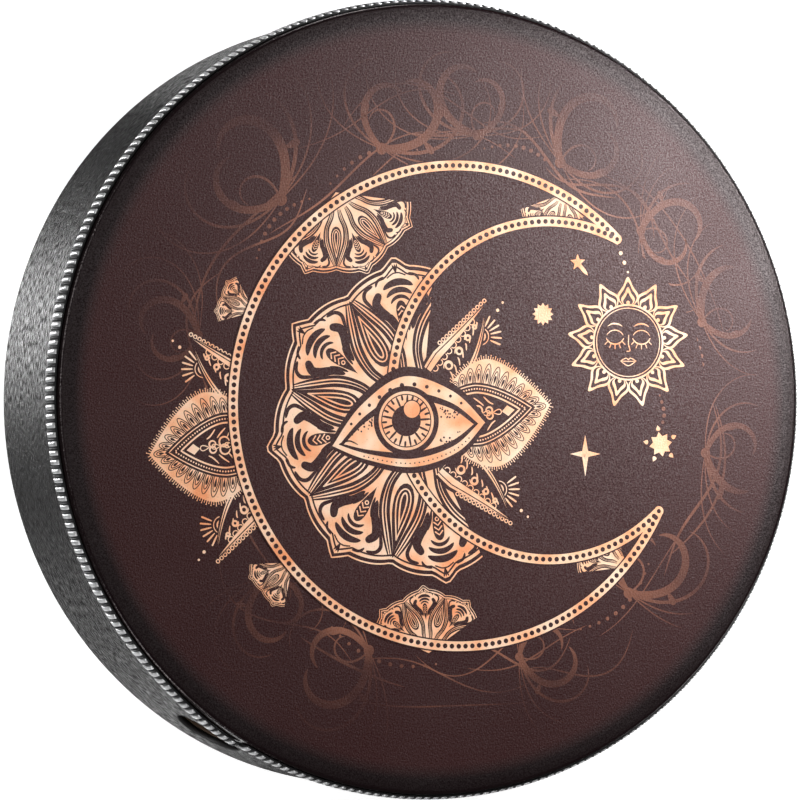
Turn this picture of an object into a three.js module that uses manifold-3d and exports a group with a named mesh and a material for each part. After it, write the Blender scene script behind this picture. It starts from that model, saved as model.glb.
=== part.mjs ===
// Hand-held frame drum, 10 inch size: a bent plywood hoop, a glued film head and a ribbed trim braid.
// Millimetres. +Z is the drum's axis. The drum lies on its open back rim at z = 0 with the head up,
// and the origin is the centre of that rim. +Y is the top of the picture printed on the head.
import * as THREE from 'three';
import { mergeVertices } from 'three/addons/utils/BufferGeometryUtils.js';
import Module from 'manifold-3d';

// Driving dimensions
const OVERALL_RADIUS = 127; // over the crown of the trim braid
const OVERALL_HEIGHT = 62; // back rim to head face
const GLUE_LINE = 0.3; // glue between two pieces
const FILM = 0.35; // head film
const PLY = 1.8; // one ply of the hoop
const PLY_NAMES = ['hoop_outer_ply', 'hoop_core_ply', 'hoop_inner_ply'];
const PLY_JOINTS = [20, 140, 262]; // degrees round the hoop, staggered
const PLY_JOINT_WIDTH = 0.3;
const SHOULDER_WIDTH = 6; // band along the edge where the head falls away
const SHOULDER_DROP = 0.7;
const BEND_RADIUS = 1; // outside of the film where it turns down over the hoop
const SKIRT_DEPTH = 7.5; // film turned down the hoop, below the head face
const TRIM_TOP = 2.2; // braid's upper edge, below the head face
const TRIM_HEIGHT = 10;
const TRIM_WRAP = 0.4; // silver strand wound over the black filler
const TRIM_WRAP_EDGE = 0.3; // the strand's thickness at the braid's two edges
const TRIM_UPPER_LIP = 2.0; // the braid's face above the wood at its upper edge
const TRIM_LOWER_LIP = 1.35; // and at its lower edge
const TRIM_FLAT_TOP = 2.5; // the crown's flat band, below the braid's upper edge
const TRIM_FLAT_FOOT = 6;
const TRIM_JOINT = 239.6; // degrees, where the braid's two ends meet
const TRIM_OPENING = 0.5; // degrees between those ends
const TRIM_SAG = 5; // the worn end hangs this much lower, over the grip hole
const TRIM_SAG_SPAN = 17; // degrees of braid that the sag takes in
const GRIP_HOLE_RADIUS = 11;
const GRIP_HOLE_ANGLE = 238.8; // degrees
const GRIP_HOLE_DEPTH = 37; // hole centre below the head face
const SEGMENTS = 96;
const HOLE_SEGMENTS = 32;
const BEND_STEPS = 3;
const SHOULDER_STEPS = 3;

// Radii worked out from the crown inwards
const TRIM_CROWN = 2.4; // crown above the wood
const HOOP_RADIUS = OVERALL_RADIUS - TRIM_CROWN;
const SKIRT_INNER = HOOP_RADIUS + GLUE_LINE;
const SKIRT_OUTER = SKIRT_INNER + FILM;

const degrees = THREE.MathUtils.degToRad;
const point = (radius, height) => new THREE.Vector2(radius, height);

const wasm = await Module();
wasm.setup();

// A closed three.js geometry as a solid that can be cut.
function toSolid(geometry) {
  const bare = geometry.clone();
  bare.deleteAttribute('normal');
  bare.deleteAttribute('uv');
  const merged = mergeVertices(bare, 1e-4);
  const mesh = new wasm.Mesh({
    numProp: 3,
    vertProperties: new Float32Array(merged.attributes.position.array),
    triVerts: new Uint32Array(merged.index.array),
  });
  return new wasm.Manifold(mesh);
}

// A cut solid back as a three.js geometry.
function toGeometry(solid) {
  const mesh = solid.getMesh();
  const geometry = new THREE.BufferGeometry();
  geometry.setAttribute('position', new THREE.BufferAttribute(mesh.vertProperties, 3));
  geometry.setIndex(new THREE.BufferAttribute(mesh.triVerts, 1));
  return geometry;
}

// A profile of (radius, height) points, anticlockwise, turned round the drum's axis.
function turned(profile) {
  const geometry = new THREE.LatheGeometry(profile, SEGMENTS);
  geometry.rotateX(Math.PI / 2);
  return geometry;
}

function named(name, geometry, color, roughness, metalness) {
  const mesh = new THREE.Mesh(geometry, new THREE.MeshStandardMaterial({ color, roughness, metalness }));
  mesh.name = name;
  return mesh;
}

// Head shape: flat, then a shoulder that falls away, then a bend down into the skirt.
const BEND_SLOPE = Math.atan((2 * SHOULDER_DROP) / SHOULDER_WIDTH);
const BEND_CENTRE_RADIUS = SKIRT_OUTER - BEND_RADIUS;
const SHOULDER_END = BEND_CENTRE_RADIUS + BEND_RADIUS * Math.sin(BEND_SLOPE);
const SHOULDER_START = SHOULDER_END - SHOULDER_WIDTH;
const BEND_CENTRE_HEIGHT = OVERALL_HEIGHT - SHOULDER_DROP - BEND_RADIUS * Math.cos(BEND_SLOPE);

// Height of the head face, or of a surface that lies the given depth under it.
function headHeight(radius, depth) {
  const across = Math.max(0, radius - SHOULDER_START) / SHOULDER_WIDTH;
  return OVERALL_HEIGHT - depth - SHOULDER_DROP * across * across;
}

// Points round the bend, from the skirt up to the shoulder, the given depth inside the film's face.
function bendPoints(depth) {
  const points = [];
  for (let step = 0; step <= BEND_STEPS; step += 1) {
    const angle = (Math.PI / 2 - BEND_SLOPE) * (step / BEND_STEPS);
    const radius = BEND_CENTRE_RADIUS + (BEND_RADIUS - depth) * Math.cos(angle);
    points.push(point(radius, BEND_CENTRE_HEIGHT + (BEND_RADIUS - depth) * Math.sin(angle)));
  }
  return points;
}

// Points along the shoulder from its outer edge inwards, both ends left out.
function shoulderPoints(depth) {
  const points = [];
  for (let step = 1; step < SHOULDER_STEPS; step += 1) {
    const radius = SHOULDER_END - SHOULDER_WIDTH * (step / SHOULDER_STEPS);
    points.push(point(radius, headHeight(radius, depth)));
  }
  return points;
}

function headFilm() {
  const skirtEnd = OVERALL_HEIGHT - SKIRT_DEPTH;
  const underside = [
    ...bendPoints(FILM),
    ...shoulderPoints(FILM),
    point(SHOULDER_START, OVERALL_HEIGHT - FILM),
  ];
  const face = [
    ...bendPoints(0),
    ...shoulderPoints(0),
    point(SHOULDER_START, OVERALL_HEIGHT),
  ];
  const profile = [
    point(0, OVERALL_HEIGHT - FILM),
    ...underside.reverse(),
    point(SKIRT_INNER, skirtEnd),
    point(SKIRT_OUTER, skirtEnd),
    ...face,
    point(0, OVERALL_HEIGHT),
  ];
  return named('head_film', turned(profile), 0x2e1f1f, 0.5, 0);
}

// A ring of the hoop: its top follows the underside of the film, and its foot is flat.
function plyRing(index) {
  const outer = HOOP_RADIUS - index * (PLY + GLUE_LINE);
  const inner = outer - PLY;
  const depth = FILM + GLUE_LINE;
  const top = index === 0
    ? bendPoints(depth)
    : [point(outer, headHeight(outer, depth))];
  return turned([
    point(inner, 0),
    point(outer, 0),
    ...top,
    point(inner, headHeight(inner, depth)),
    point(inner, 0),
  ]);
}

// The grip hole is drilled square through all three plies. The drill is longer than they are thick.
function gripHoleTool() {
  const length = 4 * PLY_NAMES.length * (PLY + GLUE_LINE);
  const tool = new THREE.CylinderGeometry(GRIP_HOLE_RADIUS, GRIP_HOLE_RADIUS, length, HOLE_SEGMENTS);
  const angle = degrees(GRIP_HOLE_ANGLE);
  tool.rotateZ(angle - Math.PI / 2);
  const radius = HOOP_RADIUS - PLY;
  const height = OVERALL_HEIGHT - GRIP_HOLE_DEPTH;
  tool.translate(radius * Math.cos(angle), radius * Math.sin(angle), height);
  return toSolid(tool);
}

// Each ply is one strip bent round, so its two ends meet in a butt joint.
// The saw that parts them reaches past the ply on both sides, and above and below it.
function buttJointTool(index) {
  const angle = degrees(PLY_JOINTS[index]);
  const sawWidth = 4 * PLY;
  const sawHeight = 3 * OVERALL_HEIGHT;
  const tool = new THREE.BoxGeometry(sawWidth, PLY_JOINT_WIDTH, sawHeight);
  const radius = HOOP_RADIUS - index * (PLY + GLUE_LINE) - PLY / 2;
  tool.rotateZ(angle);
  tool.translate(radius * Math.cos(angle), radius * Math.sin(angle), 0);
  return toSolid(tool);
}

function hoopPly(name, index) {
  const cut = toSolid(plyRing(index)).subtract(gripHoleTool()).subtract(buttJointTool(index));
  return named(name, toGeometry(cut), index === 0 ? 0x1c1b1c : 0x2a2420, 0.45, 0);
}

// How far the braid hangs below its level at a fraction of the way round from its sound end.
function trimSag(along) {
  const turn = 360 - TRIM_OPENING;
  return TRIM_SAG * THREE.MathUtils.smoothstep(turn * along, turn - TRIM_SAG_SPAN, turn);
}

// A section of (out from the wood, down from the braid's upper edge) points, wrapped round the hoop.
// It is extruded straight, and then each point is carried to its place on the hoop.
function wrapped(section) {
  const shape = new THREE.Shape(section.map(([out, down]) => point(out, -down)));
  const settings = { depth: 1, steps: SEGMENTS, bevelEnabled: false };
  const geometry = new THREE.ExtrudeGeometry(shape, settings);
  const place = geometry.attributes.position;
  for (let index = 0; index < place.count; index += 1) {
    const along = 1 - place.getZ(index);
    const angle = degrees(TRIM_JOINT + TRIM_OPENING / 2 + (360 - TRIM_OPENING) * along);
    const radius = HOOP_RADIUS + place.getX(index);
    const height = OVERALL_HEIGHT - TRIM_TOP + place.getY(index) - trimSag(along);
    place.setXYZ(index, radius * Math.cos(angle), radius * Math.sin(angle), height);
  }
  return geometry;
}

// The braid steps over the end of the skirt: its upper part lies on film, its lower part on wood.
const OVER_SKIRT = SKIRT_OUTER - HOOP_RADIUS + GLUE_LINE;
const SKIRT_STEP = SKIRT_DEPTH - TRIM_TOP + GLUE_LINE;

// The filler stops short of the braid's two edges, and its face keeps a glue line under the strand's.
function trimFiller() {
  const inset = 0.4;
  const ease = 0.5;
  const under = TRIM_WRAP_EDGE + GLUE_LINE;
  const crown = TRIM_CROWN - TRIM_WRAP - GLUE_LINE;
  const section = [
    [OVER_SKIRT, inset],
    [OVER_SKIRT, SKIRT_STEP],
    [GLUE_LINE, SKIRT_STEP],
    [GLUE_LINE, TRIM_HEIGHT - inset],
    [TRIM_LOWER_LIP - under, TRIM_HEIGHT - inset],
    [crown, TRIM_FLAT_FOOT - ease],
    [crown, TRIM_FLAT_TOP + ease],
    [TRIM_UPPER_LIP - under, inset],
  ];
  return named('trim_filler', wrapped(section), 0x141414, 0.8, 0);
}

// The silver strand as a shell over the filler's face, thinner at the braid's edges than at its crown.
function trimWrap() {
  const upperTurn = 0.35;
  const lowerTurn = 0.2;
  const ease = 0.2;
  const upper = TRIM_UPPER_LIP - TRIM_WRAP_EDGE;
  const lower = TRIM_LOWER_LIP - TRIM_WRAP_EDGE;
  const inner = TRIM_CROWN - TRIM_WRAP;
  const section = [
    [upper, 0],
    [upper, upperTurn],
    [inner, TRIM_FLAT_TOP + ease],
    [inner, TRIM_FLAT_FOOT - ease],
    [lower, TRIM_HEIGHT - lowerTurn],
    [lower, TRIM_HEIGHT],
    [TRIM_LOWER_LIP, TRIM_HEIGHT],
    [TRIM_CROWN, TRIM_FLAT_FOOT],
    [TRIM_CROWN, TRIM_FLAT_TOP],
    [TRIM_UPPER_LIP, 0],
  ];
  return named('trim_wrap', wrapped(section), 0xc9c9cc, 0.35, 0.7);
}

const group = new THREE.Group();
PLY_NAMES.forEach((name, index) => group.add(hoopPly(name, index)));
group.add(headFilm());
group.add(trimFiller());
group.add(trimWrap());

export default group;
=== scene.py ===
"""A hand-held frame drum: bent ply hoop, glued film head with a printed picture, and a ribbed trim braid.

Metres, in the CAD frame: the drum lies on its open back rim at z = 0 with the head up. +Y is the top of the
picture. Sizes come from the CAD nodes' boxes. Angles round the drum run anticlockwise from +X.
"""

import math
import random

import bmesh
import bpy
import numpy as np
from mathutils import Matrix, Vector
from mathutils.geometry import tessellate_polygon


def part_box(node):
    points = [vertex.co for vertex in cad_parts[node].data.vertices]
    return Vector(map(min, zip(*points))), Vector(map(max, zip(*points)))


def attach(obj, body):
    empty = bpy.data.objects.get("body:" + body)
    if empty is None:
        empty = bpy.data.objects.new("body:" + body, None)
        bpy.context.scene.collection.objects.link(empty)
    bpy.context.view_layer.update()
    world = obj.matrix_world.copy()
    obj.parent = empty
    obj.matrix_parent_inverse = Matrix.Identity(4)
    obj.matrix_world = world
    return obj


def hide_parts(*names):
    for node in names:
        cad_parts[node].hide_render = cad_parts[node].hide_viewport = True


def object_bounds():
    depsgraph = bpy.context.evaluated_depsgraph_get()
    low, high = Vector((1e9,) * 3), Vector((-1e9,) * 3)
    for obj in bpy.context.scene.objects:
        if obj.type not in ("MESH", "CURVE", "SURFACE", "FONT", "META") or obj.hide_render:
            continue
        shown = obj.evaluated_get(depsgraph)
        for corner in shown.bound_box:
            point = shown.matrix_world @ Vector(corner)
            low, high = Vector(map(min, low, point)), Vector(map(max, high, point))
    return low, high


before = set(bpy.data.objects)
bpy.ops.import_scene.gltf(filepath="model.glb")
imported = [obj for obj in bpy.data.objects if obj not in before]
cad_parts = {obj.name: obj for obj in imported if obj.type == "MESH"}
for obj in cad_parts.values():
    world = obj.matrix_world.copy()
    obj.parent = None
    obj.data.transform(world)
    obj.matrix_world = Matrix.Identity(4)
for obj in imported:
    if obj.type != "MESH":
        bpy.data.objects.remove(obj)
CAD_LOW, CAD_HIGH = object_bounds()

MM = 0.001
TURN = 2 * math.pi


def outer_radius(node):
    """Radius over a round CAD node."""
    low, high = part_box(node)
    return (high.x - low.x) / 2


# Sizes from the frame
PLIES = ["hoop_outer_ply", "hoop_core_ply", "hoop_inner_ply"]
PLY_RADII = [outer_radius(node) for node in PLIES]
HEAD_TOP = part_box("head_film")[1].z
SKIRT_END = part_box("head_film")[0].z
SKIRT_OUTER = outer_radius("head_film")
HOOP_RADIUS = PLY_RADII[0]
TRIM_CROWN = (CAD_HIGH.x - CAD_LOW.x) / 2 - HOOP_RADIUS
TRIM_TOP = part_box("trim_wrap")[1].z
TRIM_HEIGHT = 10 * MM
TRIM_SAG = TRIM_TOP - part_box("trim_wrap")[0].z - TRIM_HEIGHT

# Sizes that the boxes don't give, the same as the CAD's
GLUE = 0.3 * MM
FILM = 0.35 * MM
PLY = PLY_RADII[0] - PLY_RADII[1] - GLUE
PLY_JOINTS = [math.radians(angle) for angle in (20, 140, 262)]
PLY_JOINT_GAP = 0.3 * MM
SHOULDER_WIDTH = 6 * MM
SHOULDER_DROP = 0.7 * MM
BEND_RADIUS = 1 * MM
TRIM_JOINT = math.radians(239.6)
TRIM_OPENING = math.radians(0.5)
TRIM_SAG_SPAN = math.radians(17)
GRIP_HOLE_RADIUS = 11 * MM
GRIP_HOLE_ANGLE = math.radians(238.8)
GRIP_HOLE_HEIGHT = HEAD_TOP - 37 * MM
FOOT_EASE = 0.45 * MM
PLY_HOLE_EASES = [0.9 * MM, 0.1 * MM, 0.9 * MM]

# Camera: the drum's axis leans away from the line of sight, and the drum sits a little off centre
HEAD_EDGE = Vector((0, 0, HEAD_TOP - 0.4 * MM))
CAMERA_LEAN = math.radians(20.91)
CAMERA_LEAN_TOWARDS = math.radians(2.99)
CAMERA_DISTANCE = 14 * SKIRT_OUTER
CAMERA_OFF_CENTRE = Vector((0.0944, 0.0033)) * SKIRT_OUTER
CAMERA_LENS = 249.3
CAMERA_SENSOR = 36


def make_camera():
    """The camera, which looks at the head from a little to one side. It has no depth of field."""
    lean_axis = Vector((-math.sin(CAMERA_LEAN_TOWARDS), math.cos(CAMERA_LEAN_TOWARDS), 0))
    facing = Matrix.Rotation(CAMERA_LEAN, 3, lean_axis).transposed()
    data = bpy.data.cameras.new("camera")
    data.lens = CAMERA_LENS
    data.sensor_width = CAMERA_SENSOR
    camera = bpy.data.objects.new("camera", data)
    bpy.context.scene.collection.objects.link(camera)
    aside = Vector((-CAMERA_OFF_CENTRE.x, -CAMERA_OFF_CENTRE.y, CAMERA_DISTANCE))
    camera.matrix_world = Matrix.Translation(HEAD_EDGE + facing @ aside) @ facing.to_4x4()
    bpy.context.scene.camera = camera
    return facing


VIEW = make_camera()
TO_CAMERA = VIEW @ Vector((0, 0, 1))


# ---------------------------------------------------------------- meshes

def make_object(name, points, faces, uvs=None):
    """A mesh object of points and faces, smooth shaded. uvs has one pair for each point."""
    mesh = bpy.data.meshes.new(name)
    mesh.from_pydata([tuple(p) for p in points], [], faces)
    mesh.polygons.foreach_set("use_smooth", [True] * len(mesh.polygons))
    if uvs is not None:
        layer = mesh.uv_layers.new(name="UVMap")
        for loop in mesh.loops:
            layer.data[loop.index].uv = uvs[loop.vertex_index]
    mesh.update()
    made = bpy.data.objects.new(name, mesh)
    bpy.context.scene.collection.objects.link(made)
    return made


def finished(piece, look, slot, *nodes):
    """Gives a piece its material and its place in the frame, and hides the CAD nodes that it stands for."""
    piece.data.materials.append(look)
    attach(piece, "root")
    if nodes:
        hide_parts(*nodes)
    return piece


def sharpen(piece, degrees):
    """Keeps the corners that are meant to be corners crisp."""
    piece.data.set_sharp_from_angle(angle=math.radians(degrees))


def strip_faces(rows, columns, wrap_rows, wrap_columns):
    """Quads between neighbouring rows of points, each row having the given number of columns."""
    faces = []
    for row in range(rows if wrap_rows else rows - 1):
        after = (row + 1) % rows
        for column in range(columns if wrap_columns else columns - 1):
            beside = (column + 1) % columns
            faces.append((
                row * columns + column,
                after * columns + column,
                after * columns + beside,
                row * columns + beside,
            ))
    return faces


def end_caps(rows, columns, first=0):
    """The two faces that close a tube made of rows of points, the first point having the given index."""
    last = first + (rows - 1) * columns
    return [tuple(range(first, first + columns)), tuple(range(last, last + columns))]


def arc(centre_out, centre_up, radius, start, end, steps):
    """Points (out, up) round an arc, angles in degrees."""
    points = []
    for step in range(steps + 1):
        angle = math.radians(start + (end - start) * step / steps)
        points.append((centre_out + radius * math.cos(angle), centre_up + radius * math.sin(angle)))
    return points


def run_length(profile):
    """Length along a profile up to each of its points."""
    lengths = [0.0]
    for before, after in zip(profile, profile[1:]):
        lengths.append(lengths[-1] + math.dist(before, after))
    return lengths


def subdivided(profile, spacing):
    """The profile with its long straight runs cut into steps of about the given spacing."""
    points = [profile[0]]
    for before, after in zip(profile, profile[1:]):
        steps = max(1, round(math.dist(before, after) / spacing))
        for step in range(1, steps + 1):
            share = step / steps
            points.append(tuple(b + (a - b) * share for b, a in zip(before, after)))
    return points


def bent_strip(name, profile, start, end, steps):
    """A closed profile, anticlockwise, carried round the drum from start to end, with both ends capped."""
    lengths = run_length(profile)
    points, uvs = [], []
    for step in range(steps + 1):
        angle = start + (end - start) * step / steps
        for (out, up), length in zip(profile, lengths):
            points.append((out * math.cos(angle), out * math.sin(angle), up))
            uvs.append((angle * HOOP_RADIUS, length))
    count = len(profile)
    foot, top = end_caps(steps + 1, count)
    faces = strip_faces(steps + 1, count, False, True) + [foot, top[::-1]]
    return make_object(name, points, faces, uvs)


def turned(profile, steps):
    """The points of a profile carried all the way round the drum's axis."""
    points = []
    for step in range(steps):
        angle = TURN * step / steps
        points += [(out * math.cos(angle), out * math.sin(angle), up) for out, up in profile]
    return points


def face_outwards(piece):
    """Turns every face of a closed mesh outwards."""
    mesh = bmesh.new()
    mesh.from_mesh(piece.data)
    bmesh.ops.recalc_face_normals(mesh, faces=mesh.faces)
    mesh.to_mesh(piece.data)
    mesh.free()
    piece.data.update()


def apply_boolean(piece, tool):
    """Cuts the tool out of the piece and throws the tool away."""
    cut = piece.modifiers.new("cut", "BOOLEAN")
    cut.operation = "DIFFERENCE"
    cut.solver = "EXACT"
    cut.object = tool
    graph = bpy.context.evaluated_depsgraph_get()
    mesh = bpy.data.meshes.new_from_object(piece.evaluated_get(graph))
    piece.modifiers.remove(cut)
    piece.data = mesh
    bpy.data.objects.remove(tool)


# ---------------------------------------------------------------- materials

def new_look(name, roughness):
    """A new material, its node tree and its shader."""
    look = bpy.data.materials.new(name)
    look.use_nodes = True
    shader = look.node_tree.nodes["Principled BSDF"]
    shader.inputs["Roughness"].default_value = roughness
    return look, look.node_tree, shader


def feed(tree, socket, value):
    """Gives an input its value, or links it to the socket that the value comes from."""
    if isinstance(value, bpy.types.NodeSocket):
        tree.links.new(value, socket)
    else:
        socket.default_value = value


def add(tree, kind, settings=None, **inputs):
    """A node of the given kind. An input is a value or the socket to link, and _ stands for a space."""
    node = tree.nodes.new("ShaderNode" + kind)
    for setting, value in (settings or {}).items():
        setattr(node, setting, value)
    for name, value in inputs.items():
        feed(tree, node.inputs[name.replace("_", " ")], value)
    return node


def arithmetic(tree, operation, first, second):
    """One sum on two values or sockets."""
    node = tree.nodes.new("ShaderNodeMath")
    node.operation = operation
    for socket, value in zip(node.inputs, (first, second)):
        feed(tree, socket, value)
    return node.outputs[0]


def ramp(tree, factor, stops):
    """A colour ramp through (place, colour) stops."""
    node = add(tree, "ValToRGB", Fac=factor)
    elements = node.color_ramp.elements
    elements[0].position, elements[0].color = stops[0][0], (*stops[0][1], 1)
    elements[1].position, elements[1].color = stops[-1][0], (*stops[-1][1], 1)
    for place, colour in stops[1:-1]:
        elements.new(place).color = (*colour, 1)
    return node.outputs["Color"]


def grey_ramp(tree, factor, stops):
    """A ramp of single values."""
    return ramp(tree, factor, [(place, (value, value, value)) for place, value in stops])


def mixed(tree, factor, first, second, blend="MIX"):
    """Two colours mixed. Each is a socket or a colour."""
    node = add(tree, "Mix", {"data_type": "RGBA", "blend_type": blend})
    for index, value in ((0, factor), (6, first), (7, second)):
        feed(tree, node.inputs[index], (*value, 1) if isinstance(value, tuple) else value)
    return node.outputs[2]


def connect(tree, socket, shader, name):
    """Links a socket to one of the shader's inputs."""
    tree.links.new(socket, shader.inputs[name])


def bumped(tree, height, depth, strength=1.0, under=None):
    """A bump of the given depth in metres, over another one if there is one."""
    node = add(tree, "Bump", Height=height, Distance=depth, Strength=strength)
    if under is not None:
        tree.links.new(under, node.inputs["Normal"])
    return node.outputs["Normal"]


def place_on_piece(tree, scale=(1, 1, 1), kind="Object"):
    """Coordinates on the piece, in metres, stretched by the given scale."""
    source = add(tree, "TexCoord").outputs[kind]
    return add(tree, "Mapping", Vector=source, Scale=scale).outputs["Vector"]


def noise(tree, place, scale, detail=4.0, roughness=0.5):
    cloud = add(tree, "TexNoise", Vector=place, Scale=scale, Detail=detail, Roughness=roughness)
    return cloud.outputs["Fac"]


def distance_from(tree, place, point):
    """How far a place is from a fixed point, in metres."""
    away = add(tree, "VectorMath", {"operation": "DISTANCE"})
    tree.links.new(place, away.inputs[0])
    away.inputs[1].default_value = point
    return away.outputs["Value"]


STAIN = (0.012, 0.0115, 0.012)
STAIN_WORN = (0.035, 0.032, 0.032)
# The small dark spot on the hoop's face: its colour, then its place and size
DARK_SPOT_COLOUR = (0.002, 0.002, 0.002)
DARK_SPOT_ANGLE = math.radians(132)
DARK_SPOT_HEIGHT = 37 * MM
DARK_SPOT_SIZE = 1.6 * MM


def dark_spot(tree):
    """One small dark spot in the hoop's face, 1 inside it and 0 away from it."""
    source = place_on_piece(tree, (1, 0.5, 1), "UV")
    ragged = noise(tree, place_on_piece(tree, (1, 1, 1), "UV"), 700.0, 2.0)
    away = distance_from(tree, source, (DARK_SPOT_ANGLE * HOOP_RADIUS, DARK_SPOT_HEIGHT / 2, 0))
    reach = arithmetic(tree, "MULTIPLY", away, 1 / DARK_SPOT_SIZE)
    return grey_ramp(tree, arithmetic(tree, "MULTIPLY", reach, ragged), [(0.35, 1.0), (0.6, 0.0)])


def stained_wood():
    """Black-stained veneer. Its grain runs round the hoop, and the stain is thinner in patches."""
    look, tree, shader = new_look("stained_wood", 0.42)
    fibre = noise(tree, place_on_piece(tree, (200, 1100, 1), "UV"), 1.0, 5.0, 0.75)
    pores = noise(tree, place_on_piece(tree, (400, 1350, 1), "UV"), 1.0, 2.0, 0.6)
    patches = noise(tree, place_on_piece(tree, (9, 45, 1), "UV"), 1.0, 3.0)
    shade = arithmetic(tree, "MULTIPLY", fibre, patches)
    colour = ramp(tree, shade, [(0.12, STAIN), (0.45, STAIN_WORN)])
    # The small dark spot is nearly black and barely shiny
    colour = mixed(tree, dark_spot(tree), colour, DARK_SPOT_COLOUR)
    connect(tree, colour, shader, "Base Color")
    gloss = grey_ramp(tree, pores, [(0.40, 0.28), (0.60, 0.70)])
    connect(tree, gloss, shader, "Roughness")
    shine = grey_ramp(tree, pores, [(0.40, 1.0), (0.58, 0.05)])
    shine = mixed(tree, dark_spot(tree), shine, (0.05, 0.05, 0.05))
    connect(tree, shine, shader, "Specular IOR Level")
    grain = bumped(tree, fibre, 0.36 * MM)
    pits = grey_ramp(tree, pores, [(0.42, 1.0), (0.62, 0.0)])
    connect(tree, bumped(tree, pits, 0.20 * MM, under=grain), shader, "Normal")
    return look


CORE_DARK = (0.05, 0.03, 0.018)
CORE_LIGHT = (0.14, 0.085, 0.05)


def core_wood():
    """The middle ply: dyed veneer with a raw edge."""
    look, tree, shader = new_look("ply_wood", 0.7)
    fibre = noise(tree, place_on_piece(tree, (80, 1800, 1), "UV"), 1.0, 5.0, 0.6)
    colour = ramp(tree, fibre, [(0.3, CORE_DARK), (0.7, CORE_LIGHT)])
    connect(tree, colour, shader, "Base Color")
    connect(tree, bumped(tree, fibre, 0.06 * MM), shader, "Normal")
    return look


FILM_DARK = (0.0070, 0.0035, 0.0040)
FILM_BROWN = (0.032, 0.0080, 0.0080)
FILM_SHEEN = (1.0, 0.88, 0.88, 1.0)


def share_of_radius(tree):
    """How far out a place on the head is, as a share of the head's radius."""
    flat = add(tree, "VectorMath", {"operation": "MULTIPLY"})
    tree.links.new(place_on_piece(tree), flat.inputs[0])
    flat.inputs[1].default_value = (1, 1, 0)
    reach = add(tree, "VectorMath", {"operation": "LENGTH"})
    tree.links.new(flat.outputs[0], reach.inputs[0])
    return arithmetic(tree, "DIVIDE", reach.outputs["Value"], SKIRT_OUTER)


def film_colour(tree):
    """The film's printed ground: warm brown in the middle, nearly black towards the edge."""
    ground = ramp(tree, share_of_radius(tree), [(0.925, FILM_BROWN), (0.962, FILM_DARK)])
    cloud = noise(tree, place_on_piece(tree), 14.0, 3.0)
    return mixed(tree, grey_ramp(tree, cloud, [(0.35, 0.0), (0.7, 0.15)]), ground, FILM_DARK)


def film_grain(tree):
    """Pressed leather grain: small cells with finer noise on them."""
    place = place_on_piece(tree)
    cells = add(tree, "TexVoronoi", {"feature": "SMOOTH_F1"}, Vector=place, Scale=1900.0, Smoothness=0.6)
    fine = noise(tree, place, 2400.0, 3.0, 0.6)
    under = bumped(tree, cells.outputs["Distance"], 0.065 * MM)
    return bumped(tree, fine, 0.055 * MM, under=under)


def film_gloss(tree):
    """The print is matt, a little shinier where hands have rubbed it, and glossy on its tight bend."""
    rubbed = noise(tree, place_on_piece(tree), 35.0, 3.0)
    face = grey_ramp(tree, rubbed, [(0.3, 0.42), (0.7, 0.48)])
    on_bend = grey_ramp(tree, share_of_radius(tree), [(0.988, 0.0), (0.993, 1.0)])
    return mixed(tree, on_bend, face, (0.2, 0.2, 0.2))


def film_speckle(tree):
    """Tiny spots of the grain that catch more or less light than the rest."""
    spots = noise(tree, place_on_piece(tree), 2000.0, 2.0, 0.7)
    return grey_ramp(tree, spots, [(0.36, 0.12), (0.64, 0.58)])


def film_look(name, colour):
    """The film with a colour made by the given function of the node tree."""
    look, tree, shader = new_look(name, 0.5)
    shader.inputs["Specular Tint"].default_value = FILM_SHEEN
    connect(tree, film_speckle(tree), shader, "Specular IOR Level")
    connect(tree, colour(tree), shader, "Base Color")
    connect(tree, film_gloss(tree), shader, "Roughness")
    connect(tree, film_grain(tree), shader, "Normal")
    return look


COTTON_DARK = (0.006, 0.006, 0.0065)
COTTON_LIGHT = (0.022, 0.021, 0.022)
SILVER_DULL = (0.50, 0.50, 0.51)
SILVER_BRIGHT = (0.86, 0.86, 0.87)
GREY_DARK = (0.02, 0.02, 0.021)
GREY_LIGHT = (0.12, 0.12, 0.125)
YARN_TWIST = math.radians(28)


def black_cotton():
    """The braid's filler."""
    look, tree, shader = new_look("trim_black", 0.8)
    yarn = noise(tree, place_on_piece(tree, (900, 2600, 1), "UV"), 1.0, 3.0)
    colour = ramp(tree, yarn, [(0.3, COTTON_DARK), (0.75, COTTON_LIGHT)])
    connect(tree, colour, shader, "Base Color")
    connect(tree, bumped(tree, yarn, 0.12 * MM), shader, "Normal")
    return look


def silver_yarn():
    """Metallised yarn: fine threads with a twist, and dull patches where it has rubbed."""
    look, tree, shader = new_look("trim_silver", 0.34)
    shader.inputs["Metallic"].default_value = 0.45
    flat = add(tree, "TexCoord").outputs["UV"]
    twist = add(tree, "Mapping", Vector=flat, Rotation=(0, 0, YARN_TWIST)).outputs["Vector"]
    threads = add(tree, "TexWave", Vector=twist, Scale=620.0, Distortion=1.5, Detail=1.0)
    worn = noise(tree, place_on_piece(tree), 260.0, 3.0)
    colour = ramp(tree, worn, [(0.3, SILVER_DULL), (0.6, SILVER_BRIGHT)])
    connect(tree, colour, shader, "Base Color")
    connect(tree, bumped(tree, threads.outputs["Fac"], 0.06 * MM), shader, "Normal")
    return look


def grey_yarn():
    """The fine dull thread laid in the gaps between the silver turns."""
    look, tree, shader = new_look("trim_grey", 0.6)
    yarn = noise(tree, place_on_piece(tree), 1400.0, 3.0)
    colour = ramp(tree, yarn, [(0.35, GREY_DARK), (0.7, GREY_LIGHT)])
    connect(tree, colour, shader, "Base Color")
    connect(tree, bumped(tree, yarn, 0.05 * MM), shader, "Normal")
    return look


# ---------------------------------------------------------------- hoop

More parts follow.
